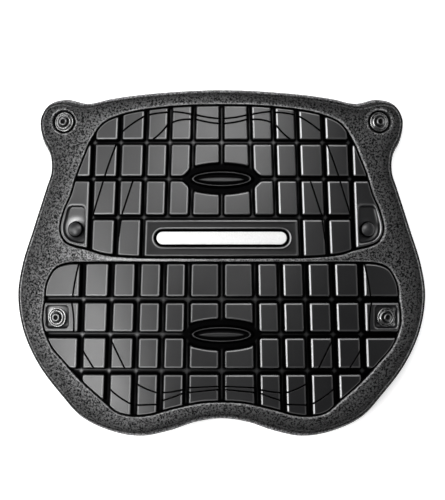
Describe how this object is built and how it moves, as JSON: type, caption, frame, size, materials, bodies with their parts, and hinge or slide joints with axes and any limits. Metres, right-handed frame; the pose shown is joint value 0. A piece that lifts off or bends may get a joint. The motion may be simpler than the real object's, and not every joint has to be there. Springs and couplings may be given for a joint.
{
  "type": "chest protector",
  "caption": "Arched black foam chest pad with two tiled armour plates, a plain pale bar on the centre panel, press studs at ears and flanks and dome rivets.",
  "frame": {"origin": "centre of the footprint at the lowest edge of the foam, with the pad lying on its hollow back", "axes": "+X to the right seen from the front, +Y towards the neck edge, +Z away from the chest"},
  "size_m": [0.2512, 0.213, 0.045],
  "materials": {
    "foam": "moulded closed-cell foam with a fine grained skin, charcoal",
    "plate": "satin to semi-gloss black moulding",
    "inlay": "pale plain inlay",
    "rivet": "gloss black",
    "stud": "dark nickel plate"
  },
  "bodies": {
    "root": {"foam_pad": "foam", "upper_plate": "plate", "lower_plate": "plate", "inlay_bar": "inlay", "dome_rivet_left": "rivet", "dome_rivet_right": "rivet", "press_stud_ear_left": "stud", "press_stud_ear_right": "stud", "press_stud_low_left": "stud", "press_stud_low_right": "stud", "stud_post_ear_left": "stud", "stud_post_ear_right": "stud", "stud_post_low_left": "stud", "stud_post_low_right": "stud"}
  },
  "joints": []
}
